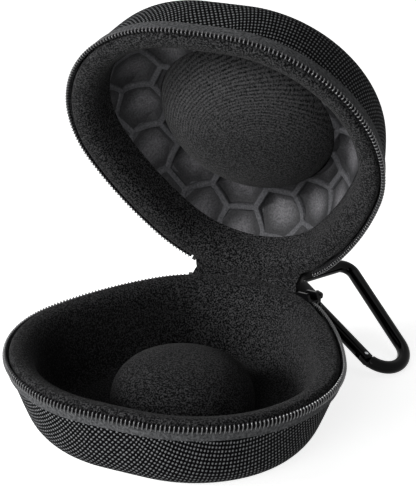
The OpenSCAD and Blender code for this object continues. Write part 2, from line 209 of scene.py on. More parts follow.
def speckle(tree: Tree, place: Socket, size: float, detail: float) -> Socket:
    """Returns a noise whose grain is about size millimetres across."""
    settings = {"Vector": place, "Scale": 0.5 / size, "Detail": detail, "Roughness": 0.6}
    return add(tree, "ShaderNodeTexNoise", settings).outputs["Fac"]


def yarns(tree: Tree, place: Socket, width: float, settings: dict, **kind: object) -> Socket:
    """Returns a pattern of yarns or knit rows that lie width millimetres apart."""
    wave = {"Vector": place, "Scale": 2 * math.pi / WAVE_TURNS / width, **settings}
    return add(tree, "ShaderNodeTexWave", wave, **kind).outputs["Fac"]


def spread(
    tree: Tree, value: Socket, low: float, high: float, start: float = 0.0, end: float = 1.0
) -> Socket:
    """Returns a value that goes from start at low to end at high, and stays there beyond."""
    limits = {"Value": value, "From Min": low, "From Max": high, "To Min": start, "To Max": end}
    return add(tree, "ShaderNodeMapRange", limits).outputs["Result"]


def paint(tree: Tree, shader: Node, share: Socket, dark: str, light: str) -> None:
    """Colours the surface from dark, where the share is 0, to light, where it is 1."""
    colours = {"Factor": share, 6: linear(dark), 7: linear(light)}
    mixed = add(tree, "ShaderNodeMix", colours, data_type="RGBA")
    tree.links.new(mixed.outputs[2], shader.inputs["Base Color"])


@dataclass(frozen=True)
class BrushedFleece(Finish):
    """Brushed polyester fleece: short matted hairs that give a soft speckled nap."""

    light: str = "#464647"
    grain: float = 0.29
    nap: float = 0.35

    def pattern(self, tree: Tree, shader: Node) -> None:
        """Links the speckle and the raised nap."""
        place = object_mm(tree)
        hairs = speckle(tree, place, self.grain, 3.0)
        paint(tree, shader, spread(tree, hairs, 0.45, 0.62), self.colour, self.light)
        bump(tree, shader, speckle(tree, place, self.grain * 0.8, 2.0), self.nap)


@dataclass(frozen=True)
class KnitFleece(BrushedFleece):
    """Fleece with its knit rows showing through: fine parallel lines that bend with the cloth."""

    row: float = 1.15
    pull: tuple[float, float, float] = (12.0, 5.0, 0.0)
    slack: tuple[float, float, float] = (8.0, 26.0, 0.0)
    show: float = 0.16

    def pattern(self, tree: Tree, shader: Node) -> None:
        """Links the rows, which bend round the point that pulled the cloth, and the nap."""
        cloth = cloth_mm(tree)
        flat = vector(tree, "SUBTRACT", cloth, self.pull)
        uneven = {"Distortion": 1.6, "Detail": 2.0, "Detail Scale": 0.8}
        rows = yarns(tree, flat, self.row, uneven, wave_type="RINGS", rings_direction="SPHERICAL")
        away = add(tree, "ShaderNodeVectorMath", {0: cloth, 1: self.slack}, operation="DISTANCE")
        stretched = spread(tree, away.outputs["Value"], 25.0, 48.0, end=self.show)
        nap = speckle(tree, object_mm(tree), self.grain, 3.0)
        both = number(tree, "MULTIPLY_ADD", rows, stretched, nap)
        paint(tree, shader, spread(tree, both, 0.42, 0.74), self.colour, self.light)
        bump(tree, shader, both, self.nap)


@dataclass(frozen=True)
class DobbyWeave(Finish):
    """Dobby-woven nylon: a black ground with a pale float at every crossing of its lattice."""

    float_colour: str = "#858688"
    pitch_w: float = 1.42
    pitch_l: float = 1.95
    float_w: float = 0.74
    float_l: float = 1.05
    waver: float = 0.45

    def pattern(self, tree: Tree, shader: Node) -> None:
        """Links the floats, set in rows and columns on the flat cloth, and their relief."""
        flat = cloth_mm(tree)
        wavy = add(tree, "ShaderNodeTexNoise", {"Vector": flat, "Scale": 0.9, "Detail": 1.0})
        shift = vector(tree, "SUBTRACT", wavy.outputs["Color"], (0.5, 0.5, 0.0))
        moved = vector(tree, "MULTIPLY_ADD", shift, (self.waver, self.waver, 0.0), flat)
        cells = vector(tree, "MULTIPLY", moved, (1 / self.pitch_w, 1 / self.pitch_l, 0.0))
        centred = vector(tree, "SUBTRACT", vector(tree, "FRACTION", cells), (0.5, 0.5, 0.0))
        stretch = (2 * self.pitch_w / self.float_w, 2 * self.pitch_l / self.float_l, 0.0)
        ring = vector(tree, "MULTIPLY", centred, stretch)
        reach = add(tree, "ShaderNodeVectorMath", {0: ring}, operation="LENGTH").outputs["Value"]
        edge = number(tree, "MULTIPLY_ADD", speckle(tree, flat, 0.8, 2.0), 0.9, reach)
        paint(tree, shader, spread(tree, edge, 1.75, 0.95), self.colour, self.float_colour)
        bump(tree, shader, spread(tree, edge, 1.8, 0.8), 0.12)


@dataclass(frozen=True)
class PlainWeave(Finish):
    """Tight plain weave, as in zip tape and webbing: a fine uneven grain of crossing yarns."""

    light: str = "#77787a"
    yarn: float = 0.42

    def pattern(self, tree: Tree, shader: Node) -> None:
        """Links the crossing yarns and the unevenness of their dye."""
        place = cloth_mm(tree)
        uneven = {"Distortion": 1.2, "Detail": 1.0}
        warp = yarns(tree, place, self.yarn, uneven, bands_direction="X")
        weft = yarns(tree, place, self.yarn, uneven, bands_direction="Y")
        woven = number(tree, "MULTIPLY", warp, weft)
        both = number(tree, "MULTIPLY_ADD", woven, 0.5, speckle(tree, place, 0.5, 2.0))
        paint(tree, shader, spread(tree, both, 0.4, 1.0), self.colour, self.light)
        bump(tree, shader, both, 0.15)


@dataclass(frozen=True)
class FacedFoam(Finish):
    """Heat-pressed foam with a knitted face: smooth and dull, with painted shade on its pocket
    walls and painted light on its ridges and pocket middles.
    """

    # painted light: the colour of the pocket middles, lighter where they face the lamps
    light: str = "#626164"
    # painted light: the ridge tops, lighter than the shaded pocket walls
    ridge: str = "#4e4e51"

    def pattern(self, tree: Tree, shader: Node) -> None:
        """Links a faint grain and the pockets' painted light and shade: lighter ridges and middles,
        darker walls.

        The UV map's U is 0 on a ridge and 1 in a pocket's middle.
        """
        inside = add(tree, "ShaderNodeSeparateXYZ", {"Vector": cloth_mm(tree)}).outputs["X"]
        painted_pocket_shade = add(tree, "ShaderNodeValToRGB", {"Fac": inside})
        ramp = painted_pocket_shade.color_ramp
        # The ramp paints light and shade by pocket depth: lighter ridge tops, dark walls as painted
        # shade, lighter middles as painted light.
        ramp.elements[0].position, ramp.elements[0].color = 0.0, linear(self.ridge)
        ramp.elements[1].position, ramp.elements[1].color = 0.75, linear(self.light)
        for place, code in ((0.03, self.ridge), (0.06, self.colour), (0.2, self.colour)):
            ramp.elements.new(place).color = linear(code)
        grain = speckle(tree, object_mm(tree), 0.35, 2.0)
        level = spread(tree, grain, 0.3, 0.75, 0.45, 1.35)
        scaled = {0: painted_pocket_shade.outputs["Color"], "Scale": level}
        grained_painted_shade = add(tree, "ShaderNodeVectorMath", scaled, operation="SCALE")
        tree.links.new(grained_painted_shade.outputs[0], shader.inputs["Base Color"])
        bump(tree, shader, grain, 0.06)


# Dobby-woven ballistic nylon: pale floats on a black ground
COVER_CLOTH = DobbyWeave("Dobby-woven nylon", "#040405", 0.8, specular=0.02)
# Woven polyester zip tape, mid grey and dull with an uneven grain
TAPE_CLOTH = PlainWeave("Woven polyester zip tape", "#1e1e1f", 0.88, specular=0.15)
# Brushed polyester fleece: dark, speckled, lit softly at grazing angles
LINING_FLEECE = BrushedFleece(
    "Brushed polyester fleece", "#060607", 0.95, sheen=0.04, specular=0.05
)
# The same fleece stretched over the domes, where its knit rows show
DOME_FLEECE = KnitFleece(
    "Stretched knit fleece", "#0a0a0b", 0.95, sheen=0.05, specular=0.08, light="#4a4a4b"
)
# Heat-pressed EVA with a knitted face: smooth charcoal, its colour the painted shade of the pocket
# walls, with painted light on ridges and pocket middles
PAD_FOAM = FacedFoam("Heat-pressed faced foam", "#2c2c2e", 0.7, specular=0.3)
# Moulded EVA core, hidden between cover and lining: matt black
CORE_FOAM = Finish("Moulded EVA foam", "#1c1c1d", 0.9, specular=0.2)
# Nylon monofilament coil, dyed dark: each loop shows as a bright point of reflected light
COIL_NYLON = Finish("Nylon monofilament coil", "#3c3c3e", 0.2, specular=0.9)
# Filler cord inside the coil, near black: partly the coil's real core cord, partly painted shade
# standing for the dark gaps between the loops
COIL_CORD_GAP_SHADE = Finish("Black filler cord and gap shade", "#070708", 0.95, specular=0.1)
# Enamelled zinc die casting: gloss black with a soft edge light
SLIDER_ENAMEL = Finish("Black enamelled zinc", "#050506", 0.35, specular=0.15)
# Anodised and polished aluminium rod: gloss black with long highlights
CLIP_ENAMEL = Finish("Gloss black anodised aluminium", "#020203", 0.13, specular=0.08)
# Turned steel pin: bright metal
PIN_STEEL = Finish("Turned steel", "#a9abad", 0.3, metallic=1.0)
# Woven nylon webbing: black with a coarse rib
WEBBING = Finish("Woven nylon webbing", "#1b1b1d", 0.85, sheen=0.1)
# Tightly woven polyester hinge cloth: black, with its yarns just visible
HINGE_CLOTH = PlainWeave(
    "Woven polyester hinge cloth", "#080809", 0.9, specular=0.1, light="#29292a"
)


# --- shape helpers ---
class Half(Enum):
    """The two halves of the case, named as their bodies."""

    BASE = "base"
    LID = "lid"


def cubic(part: Array, here: Array, there: Array, leave: Array, arrive: Array) -> Array:
    """Returns the points of a cubic span at these parts of it, from 0 to 1.

    Args:
        part: how far along the span each point is.
        here: the span's start.
        there: the span's end.
        leave: the direction and pace at its start.
        arrive: the direction and pace at its end.
    """
    square, cube = part**2, part**3
    return (
        (2 * cube - 3 * square + 1) * here
        + (cube - 2 * square + part) * leave
        + (3 * square - 2 * cube) * there
        + (cube - square) * arrive
    )


def smooth_line(points: Section, per_span: int) -> Array:
    """Draws a smooth line through points.

    Args:
        points: the corners of the section.
        per_span: how many steps each span between two corners gets.

    Returns:
        The points of the line, one row each.
    """
    known = np.array(points, float)
    ends = np.vstack([2 * known[0] - known[1], known, 2 * known[-1] - known[-2]])
    steps = np.linspace(0, 1, per_span, endpoint=False)[:, None]
    drawn = []
    for a, b, c, d in zip(ends, ends[1:], ends[2:], ends[3:]):
        before, span, after = (np.linalg.norm(q - p) for p, q in ((a, b), (b, c), (c, d)))
        leave = (c - a) / (before + span) * span
        arrive = (d - b) / (span + after) * span
        drawn.append(cubic(steps, b, c, leave, arrive))
    return np.vstack([*drawn, known[-1:]])


def run_length(line: Array) -> Array:
    """Returns the length of a line from its first point to each of its points."""
    return np.concatenate([[0.0], np.cumsum(np.linalg.norm(np.diff(line, axis=0), axis=1))])


def row_at(line: Array, share: Array) -> Array:
    """Returns the points of a line at these shares of its rows, from 0 to 1."""
    rows = share * (len(line) - 1)
    return np.column_stack([np.interp(rows, np.arange(len(line)), column) for column in line.T])


@dataclass(frozen=True)
class Arc:
    """One arc of the outline, run through from start to end, in degrees."""

    x: float
    y: float
    radius: float
    start: float
    end: float

    @property
    def length(self) -> float:
        """The arc's length."""
        return math.radians(self.end - self.start) * self.radius


@dataclass(frozen=True)
class CaseOutline:
    """The zip line seen from above, as tangent arcs, and where both halves hold it."""

    width: float = 120.0
    widest_back: float = 72.3
    side_r: float = 52.4
    front_r: float = 860.0
    back_r: float = 45.7
    flank_r: float = 136.0
    hinge_half_angle: float = 29.0
    hinge_y: float = 60.168
    zip_z: float = 31.0
    open_angle: float = 62.2

    def arcs(self) -> list[Arc]:
        """Returns the right half's arcs, from the middle of the front to the middle of the back."""
        side_x = self.width / 2 - self.side_r
        reach = self.front_r - math.sqrt((self.front_r - self.side_r) ** 2 - side_x**2)
        half_depth = (self.widest_back + reach) / 2
        side = np.array([side_x, half_depth - self.widest_back])
        front = np.array([0.0, self.front_r - half_depth])
        back = np.array([0.0, half_depth - self.back_r])
        gap = float(np.linalg.norm(back - side))
        to_side, to_back = self.flank_r - self.side_r, self.flank_r - self.back_r
        along = (to_side**2 - to_back**2 + gap**2) / (2 * gap)
        off = math.sqrt(to_side**2 - along**2)
        heading = (back - side) / gap
        flank = side + along * heading + off * np.array([-heading[1], heading[0]])
        centre_lines = side - front, side - flank, back - flank
        front_join, side_join, back_join = (math.degrees(math.atan2(y, x)) for x, y in centre_lines)
        return [
            Arc(*front, self.front_r, -90.0, front_join),
            Arc(*side, self.side_r, front_join, side_join),
            Arc(*flank, self.flank_r, side_join, back_join),
            Arc(*back, self.back_r, back_join, 90.0),
        ]

    @property
    def half_length(self) -> float:
        """Length of the zip line from the middle of the front to the middle of the back."""
        return sum(arc.length for arc in self.arcs())

    def along_back(self, angle: float) -> float:
        """Returns the place along the zip line of an angle on the back arc, in degrees."""
        return self.half_length - math.radians(90 - angle) * self.back_r

    def plan(self, along: Array, inset: Array) -> Array:
        """Finds places seen from above.

        Args:
            along: distances along the zip line from the middle of the front, to the right.
            inset: distances in from the zip line.

        Returns:
            One row of x and y for each place.
        """
        gone = np.abs(along)
        found = np.zeros((len(gone), 2))
        start = 0.0
        for arc in self.arcs():
            angle = np.radians(arc.start) + (gone - start) / arc.radius
            radius = arc.radius - inset
            spot = np.column_stack([arc.x + radius * np.cos(angle), arc.y + radius * np.sin(angle)])
            found = np.where((gone >= start - 1e-6)[:, None], spot, found)
            start += arc.length
        found[:, 0] = np.where(np.abs(gone) < 1e-6, 0.0, found[:, 0]) * np.where(along < 0, -1, 1)
        return found

    def seat(self, half: Half, plan: Array, depth: Array) -> Array:
        """Puts places of one half where that half stands.

        Args:
            half: the base, or the lid as it stands open.
            plan: x and y of each place with the case shut.
            depth: each place's distance from the zip plane, outwards.

        Returns:
            One row of x, y and z for each place.
        """
        if half is Half.BASE:
            return np.column_stack([plan, self.zip_z - depth])
        turn = math.radians(self.open_angle)
        back = plan[:, 1] - self.hinge_y
        return np.column_stack(
            [
                plan[:, 0],
                self.hinge_y + back * math.cos(turn) + depth * math.sin(turn),
                self.zip_z - back * math.sin(turn) + depth * math.cos(turn),
            ]
        )


def only(*objects: Piece) -> None:
    """Selects these objects alone; the first becomes the active one."""
    bpy.ops.object.select_all(action="DESELECT")
    for one in objects:
        one.select_set(True)
    bpy.context.view_layer.objects.active = objects[0]


def edit(obj: Piece, *steps: Callable[[], object]) -> None:
    """Runs edit-mode operators on all of a mesh."""
    only(obj)
    bpy.ops.object.mode_set(mode="EDIT")
    bpy.ops.mesh.select_all(action="SELECT")
    for step in steps:
        step()
    bpy.ops.object.mode_set(mode="OBJECT")


def wrapped(name: str, columns: int, rows: int, place: Place) -> Piece:
    """Adds Blender's grid and wraps it onto a form that no extrude or spin follows.

    Args:
        name: the piece's name.
        columns: steps in the first direction.
        rows: steps in the second direction.
        place: gives, for shares of both directions, the places and the flat-cloth places.

    Returns:
        The piece, with its doubles merged and its normals made consistent.
    """
    bpy.ops.object.select_all(action="DESELECT")
    bpy.ops.mesh.primitive_grid_add(x_subdivisions=columns, y_subdivisions=rows, size=1)
    obj = bpy.context.active_object
    obj.name = obj.data.name = name
    mesh = obj.data
    flat = np.zeros(len(mesh.vertices) * 3)
    mesh.vertices.foreach_get("co", flat)
    flat = flat.reshape(-1, 3) + 0.5
    first = np.round(flat[:, 0] * columns) / columns
    second = np.round(flat[:, 1] * rows) / rows
    places, cloth = place(first, second)
    mesh.vertices.foreach_set("co", (places * MM).ravel())
    corners = np.zeros(len(mesh.loops), dtype=np.int32)
    mesh.loops.foreach_get("vertex_index", corners)
    mesh.uv_layers.active.data.foreach_set("uv", cloth[corners].ravel())
    edit(
        obj,
        lambda: bpy.ops.mesh.remove_doubles(threshold=MERGE_GAP),
        lambda: bpy.ops.mesh.normals_make_consistent(inside=False),
    )
    return obj


def face(obj: Piece, point: Vector, towards: bool) -> Piece:
    """Turns an open sheet's faces towards a point, or away from it.

    Args:
        obj: the sheet.
        point: the point, in millimetres.
        towards: True for towards it.

    Returns:
        The sheet.
    """
    seen = sum(p.area * p.normal.dot(point * MM - p.center) for p in obj.data.polygons)
    if (seen > 0) != towards:
        edit(obj, bpy.ops.mesh.flip_normals)
    return obj


def apply_modifier(obj: Piece, kind: str, **settings: object) -> Piece:
    """Adds a modifier with these settings and applies it."""
    only(obj)
    modifier = obj.modifiers.new(kind.title(), kind)
    for name, value in settings.items():
        setattr(modifier, name, value)
    bpy.ops.object.modifier_apply(modifier=modifier.name)
    return obj


def thicken(obj: Piece, thickness: float) -> Piece:
    """Gives an open sheet its thickness, behind its seen face."""
    return apply_modifier(
        obj, "SOLIDIFY", thickness=thickness * MM, offset=-1.0, use_even_offset=True
    )


def stand_in(piece: Piece, body: str, *nodes: str) -> Piece:
    """Lets a piece ride on a body in place of these frame pieces, and returns it."""
    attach(piece, body)
    if nodes:
        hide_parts(*nodes)
    return piece


def dress(obj: Piece, finish: Finish, smooth: float = 40.0) -> Piece:
    """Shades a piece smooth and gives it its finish.

    Args:
        obj: the piece.
        finish: its finish.
        smooth: edges sharper than this many degrees stay sharp.

    Returns:
        The piece.
    """
    obj.data.materials.clear()
    obj.data.materials.append(finish.material())
    only(obj)
    bpy.ops.object.shade_smooth_by_angle(angle=math.radians(smooth))
    log.info("%s: %d faces, %s", obj.name, len(obj.data.polygons), finish.name)
    return obj


# --- the two half shells ---
# The lid's cover stands fuller at its shoulder than the base's
FULLER_COVER: Section = (
    (1.9, 5.4), (2.0, 6.6), (5.1, 19.4), (7.4, 24.9), (11.4, 28.9), (17.5, 30.8), (23.5, 31.0),
)


@dataclass
class HalfShell:
    """One half of the case: woven cover, zip tape, coil, filler cord and fleece lining.

    The values are the base's, and main() says where the lid differs. Zip ends and the
    slider's run are angles on the back arc, in degrees.
    """

    half: Half
    outline: CaseOutline
    columns: int = 360
    cover_t: float = 0.8
    tape_t: float = 0.7
    lining_t: float = 0.7
    cloth_turn: float = 38.0
    loop_pitch: float = 1.47
    loop_h: float = 2.1
    loop_w: float = 1.1
    wire_r: float = 0.3
    loop_depth: float = 2.25
    loop_inset: float = 0.62
    loop_lean: float = 9.0
    cord_inset: float = 0.72
    cord_r: float = 0.42
    cord_gap: float = 0.2
    zip_ends: tuple[float, float] = (58.0, 58.0)
    slider_run: tuple[float, float] = (33.0, 60.0)
    slider_room: float = 3.7
    slider_ease: tuple[float, float] = (4.0, 2.0)
    crest: float = 0.15
    crest_inset: float = 3.8
    crest_w: float = 2.2
    floor_rows: int = 8
    cover_line: Section = (
        (1.9, 5.4), (2.2, 6.6), (6.89, 19.52), (9.4, 24.6),
        (13.2, 28.6), (18.5, 30.7), (23.5, 31.0),
    )
    tape_line: Section = ((1.35, 6.5), (0.75, 3.4), (0.5, 2.3), (0.9, 1.6))
    lining_line: Section = (
        (2.0, 2.8), (2.15, 1.3), (2.9, 0.25), (4.4, 0.1), (6.6, 0.5), (8.9, 1.8), (10.6, 4.4),
        (11.3, 8.5), (11.9, 15.0), (14.2, 22.9), (16.7, 25.7), (20.1, 26.8), (24.0, 26.9),
    )

    def eye(self) -> Vector:
        """Returns a point in the hollow, near the zip plane."""
        return Vector(self.outline.seat(self.half, np.zeros((1, 2)), np.array([2.0]))[0])

    def name(self, piece: str) -> str:
        """Returns a piece's name with its half before it."""
        return f"{self.half.value}_{piece}"

    def clear_slider(self, station: Array, inset: Array) -> Array:
        """Moves the lip's edge inwards where the inner slider plate runs past it."""
        start, stop = (self.outline.along_back(angle) for angle in self.slider_run)
        before, after = self.slider_ease
        enter = np.clip((station - start) / before + 1, 0, 1)
        leave = np.clip((stop - station) / after + 1, 0, 1)
        return inset + enter * leave * np.maximum(self.slider_room - inset, 0)

    def bowl(self, name: str, line: Array, lip: bool) -> Piece:
        """Wraps a sheet round the outline and closes it over the floor.

        Args:
            name: the piece's name.
            line: the section as inset and depth, ending on the floor.
            lip: True for a sheet that passes the slider.

        Returns:
            The sheet, still without thickness.
        """
        gone = run_length(line)
        last_in, floor = line[-1]
        unrolled = np.column_stack([line, last_in - gone[-1] + gone])
        steps = len(line) - 1
        rows = steps + self.floor_rows
        middle = np.array([0.0, MIDDLE_Y])
        turn = math.radians(self.cloth_turn)
        grain = np.array([[math.cos(turn), -math.sin(turn)], [math.sin(turn), math.cos(turn)]])

        def place(first: Array, second: Array) -> tuple[Array, Array]:
            """Gives the bowl's places and the flat cloth's."""
            station = (first * 2 - 1) * self.outline.half_length
            row = second * rows
            inset, depth, flat = row_at(unrolled, np.minimum(row, steps) / steps).T
            if lip:
                inset = self.clear_slider(station, inset)
                off_crest = np.abs(inset - self.crest_inset) / self.crest_w
                depth = depth - self.crest * np.clip(1 - off_crest, 0, 1)
            closing = np.clip((row - steps) / self.floor_rows, 0, 1)[:, None]
            plan = self.outline.plan(station, inset) * (1 - closing) + middle * closing
            cloth = self.outline.plan(station, flat) * (1 - closing) + middle * closing
            depth = np.where(closing[:, 0] > 0, floor, depth)
            return self.outline.seat(self.half, plan, depth), cloth @ grain

        return wrapped(name, self.columns, rows, place)

    def cover(self) -> Piece:
        """Builds the woven cover, from under the tape to the middle of the floor."""
        piece = self.bowl(self.name("cover_cloth"), smooth_line(self.cover_line, 6), lip=False)
        thicken(face(piece, self.eye(), towards=False), self.cover_t)
        stand_in(piece, self.half.value, self.name("cover"))
        return dress(piece, COVER_CLOTH)

    def lining(self) -> Piece:
        """Builds the fleece lining, from the zip over the rim to the middle of the floor."""
        piece = self.bowl(self.name("fleece"), smooth_line(self.lining_line, 5), lip=True)
        thicken(face(piece, self.eye(), towards=True), self.lining_t)
        stand_in(piece, self.half.value, self.name("lining"))
        return dress(piece, LINING_FLEECE)

    def strip(
        self, name: str, line: Array, ends: tuple[float, float], thickness: float = 0.0
    ) -> Piece:
        """Wraps a strip round the outline, open at the hinge.

        Args:
            name: the piece's name.
            line: the strip's section as inset and depth.
            ends: the angles on the back arc where it stops, left and right, in degrees.
            thickness: the strip's thickness, or 0 to leave it a closed section.

        Returns:
            The strip.
        """
        left, right = (self.outline.along_back(angle) for angle in ends)
        measured = np.column_stack([line, run_length(line)])

        def place(first: Array, second: Array) -> tuple[Array, Array]:
            """Gives the strip's places and the flat tape's."""
            station = -left + first * (left + right)
            inset, depth, gone = row_at(measured, second).T
            cloth = np.column_stack([station, gone])
            return self.outline.seat(self.half, self.outline.plan(station, inset), depth), cloth

        piece = wrapped(name, self.columns, len(line) - 1, place)
        if thickness:
            thicken(face(piece, self.eye(), towards=False), thickness)
        return piece

    def tape(self) -> Piece:
        """Builds the zip tape that shows below the coil."""
        hinge = 90 - self.outline.hinge_half_angle
        right = self.zip_ends[1] if self.half is Half.LID else hinge
        line = smooth_line(self.tape_line, 4)
        piece = self.strip(self.name("tape"), line, (hinge, right), self.tape_t)
        stand_in(piece, self.half.value, self.name("zip_tape"))
        return dress(piece, TAPE_CLOTH)

    def cord(self) -> Piece:
        """Builds the near-black filler cord inside the coil's loops, which paints the shade in the
        gaps between them.
        """
        turns = np.linspace(0, 2 * math.pi, 9)
        half_h = self.loop_h / 2 - self.cord_gap
        inset = self.cord_inset + self.cord_r * np.cos(turns)
        line = np.column_stack([inset, self.loop_depth + half_h * np.sin(turns)])
        piece = stand_in(self.strip(self.name("coil_cord"), line, self.zip_ends), self.half.value)
        return dress(piece, COIL_CORD_GAP_SHADE)

    def coil(self) -> Piece:
        """Builds the coil: one loop of wire, copied at the coil's pitch along the zip line."""
        bpy.ops.object.select_all(action="DESELECT")
        bpy.ops.mesh.primitive_torus_add(
            major_segments=10,
            minor_segments=5,
            major_radius=self.loop_w / 2 * MM,
            minor_radius=self.wire_r * MM,
            rotation=(math.radians(90), 0, math.radians(90)),
        )
        source = bpy.context.active_object
        stretch = (1.0, 1.0, self.loop_h / self.loop_w)
        edit(source, lambda: bpy.ops.transform.resize(value=stretch, center_override=(0, 0, 0)))
        only(source)
        bpy.ops.object.transform_apply(location=True, rotation=True, scale=True)
        left, right = (self.outline.along_back(angle) for angle in self.zip_ends)
        count = int((left + right) / self.loop_pitch)
        stations = -left + (np.arange(count) + 0.5) * (left + right) / count
        loops = [self.loop_at(source, float(station)) for station in stations]
        bpy.data.objects.remove(source)
        only(*loops)
        bpy.ops.object.join()
        piece = bpy.context.active_object
        piece.name = piece.data.name = self.name("coil")
        stand_in(piece, self.half.value, self.name("zip_coil"))
        return dress(piece, COIL_NYLON, smooth=80.0)

    def loop_at(self, source: Piece, station: float) -> Piece:
        """Copies one loop to its place along the zip line, leaning as a wound coil does."""
        spots = self.outline.plan(np.array([station, station + 0.1]), np.full(2, self.loop_inset))
        ends = self.outline.seat(self.half, spots, np.full(2, self.loop_depth))
        along = Vector(ends[1] - ends[0]).normalized()
        rim = self.outline.seat(self.half, spots[:1], np.zeros(1))[0]
        up = Vector(rim - ends[0]).normalized()
        lean = Matrix.Rotation(math.radians(self.loop_lean), 3, up.cross(along).normalized())
        along = lean @ along
        axes = Matrix((along, up.cross(along), lean @ up)).transposed().to_4x4()
        copy = source.copy()
        copy.data = source.data.copy()
        copy.data.transform(Matrix.Translation(Vector(ends[0] * MM)) @ axes)
        bpy.context.scene.collection.objects.link(copy)
        return copy

    def build(self) -> None:
        """Builds all of the half's cloth and zip."""
        self.cover()
        self.tape()
        self.cord()
        self.coil()
        self.lining()


# --- domes and the hexagon pad ---
@dataclass
class SoftDome:
    """A stuffed dome under stretched fleece, sewn to the floor of a hollow.

    A power of 2 makes half an ellipsoid, and a higher one fuller shoulders.
    """

    half: Half
    outline: CaseOutline
    node: str
    diameter: float
    height: float
    power: float
    finish: Finish
    floor: float = 26.9
    foot_share: float = 0.08
    columns: int = 120
    rows: int = 28

    def build(self) -> Piece:
        """Builds the dome, closed under its foot."""

        def place(first: Array, second: Array) -> tuple[Array, Array]:
            """Gives the dome's places, from the middle of its foot over its top."""
            turn = first * 2 * math.pi
            rise = np.clip((second - self.foot_share) / (1 - self.foot_share), 0, 1) * math.pi / 2
            foot, side = second / self.foot_share, np.cos(rise) ** (2 / self.power)
            reach = np.where(second < self.foot_share, foot, side) * self.diameter / 2
            height = np.sin(rise) ** (2 / self.power) * self.height
            plan = np.column_stack([reach * np.cos(turn), reach * np.sin(turn)])
            return self.outline.seat(self.half, plan + [0.0, MIDDLE_Y], self.floor - height), plan

        piece = wrapped(f"{self.node}_fleece", self.columns, self.rows, place)
        stand_in(piece, self.half.value, self.node)
        return dress(piece, self.finish, smooth=70.0)


@dataclass
class HexagonPad:
    """The dished foam pad round the lid's dome, pressed into rounded hexagon pockets."""

    outline: CaseOutline
    dome_r: float = 33.7
    nearest_x: float = -8.5
    nearest_y: float = -3.0
    side: float = 11.0
    ridge: float = 1.7
    pocket: float = 3.0
    wall_share: float = 0.08
    wall_depth: float = 0.4
    bowl_power: float = 2.4
    thickness: float = 3.0
    back_depth: float = 26.6
    back_lean: float = 0.3
    plain_edge: float = 0.02
    fade_in: float = 0.07
    columns: int = 900
    face_rows: int = 84
    back_rows: int = 5
    rim: Section = ((11.9, 13.4), (14.0, 17.0), (16.5, 20.4), (20.9, 22.6), (25.7, 23.5))

    def inner_inset(self, station: Array) -> Array:
        """Returns how far in from the zip line the dome's foot lies at each station."""
        edge = self.outline.plan(station, np.zeros_like(station))
        inwards = self.outline.plan(station, np.ones_like(station)) - edge
        away = edge - [0.0, MIDDLE_Y]
        slope = np.sum(away * inwards, axis=1)
        return -slope - np.sqrt(np.maximum(slope**2 - np.sum(away**2, axis=1) + self.dome_r**2, 0))

    def inside_pocket(self, sheet: Array) -> Array:
        """Returns how far inside a pocket each place is: 0 on a ridge, 1 in its middle."""
        column, row = 1.5 * self.side, math.sqrt(3) * self.side
        reach = (row - self.ridge) / 2
        nearest = np.full(len(sheet), 1e9)
        x, y = sheet[:, 0] - self.nearest_x, sheet[:, 1] - self.nearest_y
        guess = np.round(x / column)
        for shift in (-1, 0, 1):
            k = guess + shift
            offset = np.where(np.mod(k, 2) == 1, row / 2, 0.0)
            dx = x - k * column
            dy = y - offset - np.round((y - offset) / row) * row
            slant = (np.abs(dx) * math.sqrt(3) + np.abs(dy)) / 2
            nearest = np.minimum(nearest, np.maximum(np.abs(dy), slant))
        return np.clip(1 - nearest / reach, 0, 1)

    def pocket_depth(self, inside: Array) -> Array:
        """Returns how deep the pocket is pressed: a steep wall, then a rounded bowl."""
        wall = np.clip(inside / self.wall_share, 0, 1)
        bowl = 1 - (1 - inside) ** self.bowl_power
        step = wall * wall * (3 - 2 * wall)
        return self.pocket * (self.wall_depth * step + (1 - self.wall_depth) * bowl)

    def build(self) -> Piece:
        """Builds the pad as a closed ring: its pressed face, then its back."""
        face_line = smooth_line(self.rim, 8)
        slope = np.gradient(face_line[:, 1], face_line[:, 0])
        gone = run_length(face_line)
        rows = self.face_rows + self.back_rows

        def place(first: Array, second: Array) -> tuple[Array, Array]:
            """Gives the ring's places; the last rows run back under the face."""
            station = (first * 2 - 1) * self.outline.half_length
            row = np.round(second * rows)
            on_face = row <= self.face_rows
            share = np.where(on_face, row / self.face_rows, (rows - row) / self.back_rows)
            start, stop = face_line[0, 0], self.inner_inset(station)
            inset = start + share * (stop - start)
            depth = np.interp(inset, face_line[:, 0], face_line[:, 1])
            steep = np.interp(inset, face_line[:, 0], slope, right=0.0)
            on_slope = face_line[-1, 0] - gone[-1] + np.interp(inset, face_line[:, 0], gone)
            unrolled = np.where(inset < face_line[-1, 0], on_slope, inset)
            sheet = self.outline.plan(station, unrolled)
            length = np.sqrt(1 + steep**2)
            outer_fade = np.clip((share - self.plain_edge) / self.fade_in, 0, 1)
            fade = outer_fade * np.clip((1 - share) / self.plain_edge, 0, 1)
            inside = self.inside_pocket(sheet)
            pressed = self.pocket_depth(inside) * fade * on_face
            inset = inset - pressed * steep / length
            depth = depth + pressed / length
            behind = ~on_face & (row < rows)
            back = np.minimum(depth + self.thickness / length, self.back_depth)
            depth = np.where(behind, back, depth)
            inset = np.where(behind, inset - self.back_lean * steep / length, inset)
            plan = self.outline.plan(station, inset)
            # The UV map's U is how far inside a pocket each place is; the foam's finish paints the
            # pockets' light and shade from it.
            return self.outline.seat(Half.LID, plan, depth), np.column_stack([inside, share])

        piece = wrapped("lid_hex_pad_foam", self.columns, rows, place)
        stand_in(piece, Half.LID.value, "lid_hex_pad")
        return dress(piece, PAD_FOAM, smooth=50.0)


